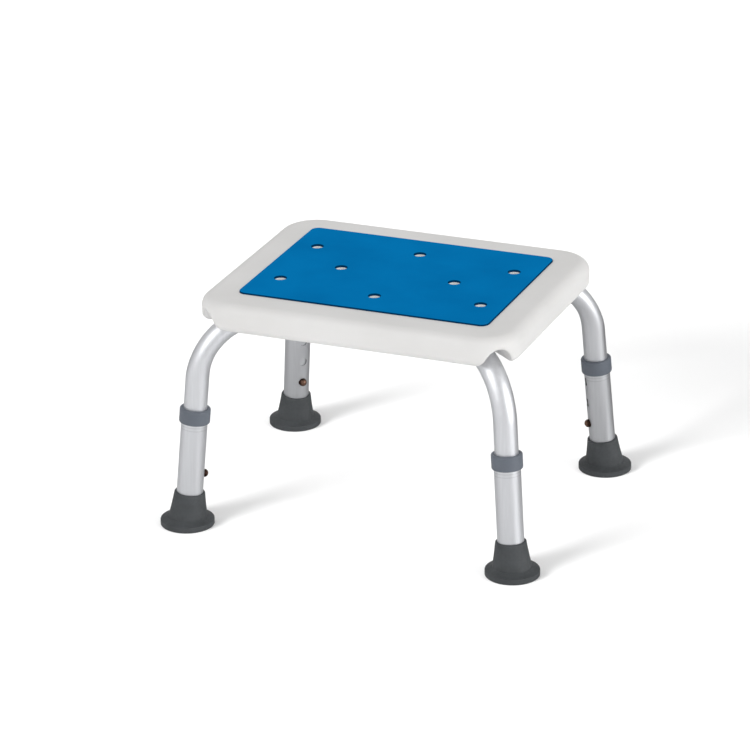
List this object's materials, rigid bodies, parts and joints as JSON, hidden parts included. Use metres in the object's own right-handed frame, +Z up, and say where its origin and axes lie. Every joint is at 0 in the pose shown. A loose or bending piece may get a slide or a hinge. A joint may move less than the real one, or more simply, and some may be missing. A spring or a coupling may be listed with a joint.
{
  "type": "shower stool",
  "caption": "Low oblong bath seat with a drained soft pad, on two crossed bent tubes whose splayed legs extend and lock with spring buttons on flared rubber feet.",
  "frame": {"origin": "on the floor, under the middle of the seat, with the legs at their shortest", "axes": "+X along the seat's long side, to the right seen from the front; -Y is the front; +Z up"},
  "size_m": [0.434, 0.3602, 0.2596],
  "materials": {
    "seat_plastic": "satin moulded polyethylene",
    "pad_foam": "matte foam skin",
    "frame_aluminium": "satin anodised",
    "leg_aluminium": "satin anodised",
    "collar_plastic": "satin",
    "foot_rubber": "matte",
    "washer_steel": "satin",
    "screw_steel": "satin",
    "spring_steel": "satin",
    "button_metal": "worn satin",
    "insert_brass": "satin"
  },
  "bodies": {
    "frame": {"seat_shell": "seat_plastic", "seat_pad": "pad_foam", "upper_frame_tube": "frame_aluminium", "lower_frame_tube": "frame_aluminium", "centre_bolt": "screw_steel", "centre_washer": "washer_steel", "seat_screws": "screw_steel", "screw_washers": "washer_steel", "threaded_inserts": "insert_brass", "spring_clip_front_left": "spring_steel", "spring_clip_front_right": "spring_steel", "spring_clip_back_left": "spring_steel", "spring_clip_back_right": "spring_steel"},
    "leg_front_left": {"lower_leg_front_left": "leg_aluminium", "collar_front_left": "collar_plastic", "foot_front_left": "foot_rubber", "foot_washer_front_left": "washer_steel"},
    "button_front_left": {"snap_button_front_left": "button_metal"},
    "leg_front_right": {"lower_leg_front_right": "leg_aluminium", "collar_front_right": "collar_plastic", "foot_front_right": "foot_rubber", "foot_washer_front_right": "washer_steel"},
    "button_front_right": {"snap_button_front_right": "button_metal"},
    "leg_back_left": {"lower_leg_back_left": "leg_aluminium", "collar_back_left": "collar_plastic", "foot_back_left": "foot_rubber", "foot_washer_back_left": "washer_steel"},
    "button_back_left": {"snap_button_back_left": "button_metal"},
    "leg_back_right": {"lower_leg_back_right": "leg_aluminium", "collar_back_right": "collar_plastic", "foot_back_right": "foot_rubber", "foot_washer_back_right": "washer_steel"},
    "button_back_right": {"snap_button_back_right": "button_metal"}
  },
  "joints": [
    {"name": "leg_slide_front_left", "type": "slide", "parent": "frame", "child": "leg_front_left", "axis": [-0.0707, -0.0568, -0.9959], "range_m": [0, 0.0508], "deforming": ["snap_button_front_left", "spring_clip_front_left"]},
    {"name": "button_press_front_left", "type": "slide", "parent": "frame", "child": "button_front_left", "axis": [-0.7764, -0.6237, 0.0906], "range_m": [0, 0.0065], "stiffness_N_per_m": 1200, "deforming": ["spring_clip_front_left"]},
    {"name": "leg_slide_front_right", "type": "slide", "parent": "frame", "child": "leg_front_right", "axis": [0.0707, -0.0568, -0.9959], "range_m": [0, 0.0508], "deforming": ["snap_button_front_right", "spring_clip_front_right"]},
    {"name": "button_press_front_right", "type": "slide", "parent": "frame", "child": "button_front_right", "axis": [0.7764, -0.6237, 0.0906], "range_m": [0, 0.0065], "stiffness_N_per_m": 1200, "deforming": ["spring_clip_front_right"]},
    {"name": "leg_slide_back_left", "type": "slide", "parent": "frame", "child": "leg_back_left", "axis": [-0.0707, 0.0568, -0.9959], "range_m": [0, 0.0508], "deforming": ["snap_button_back_left", "spring_clip_back_left"]},
    {"name": "button_press_back_left", "type": "slide", "parent": "frame", "child": "button_back_left", "axis": [-0.7764, 0.6237, 0.0906], "range_m": [0, 0.0065], "stiffness_N_per_m": 1200, "deforming": ["spring_clip_back_left"]},
    {"name": "leg_slide_back_right", "type": "slide", "parent": "frame", "child": "leg_back_right", "axis": [0.0707, 0.0568, -0.9959], "range_m": [0, 0.0508], "deforming": ["snap_button_back_right", "spring_clip_back_right"]},
    {"name": "button_press_back_right", "type": "slide", "parent": "frame", "child": "button_back_right", "axis": [0.7764, 0.6237, 0.0906], "range_m": [0, 0.0065], "stiffness_N_per_m": 1200, "deforming": ["spring_clip_back_right"]}
  ]
}
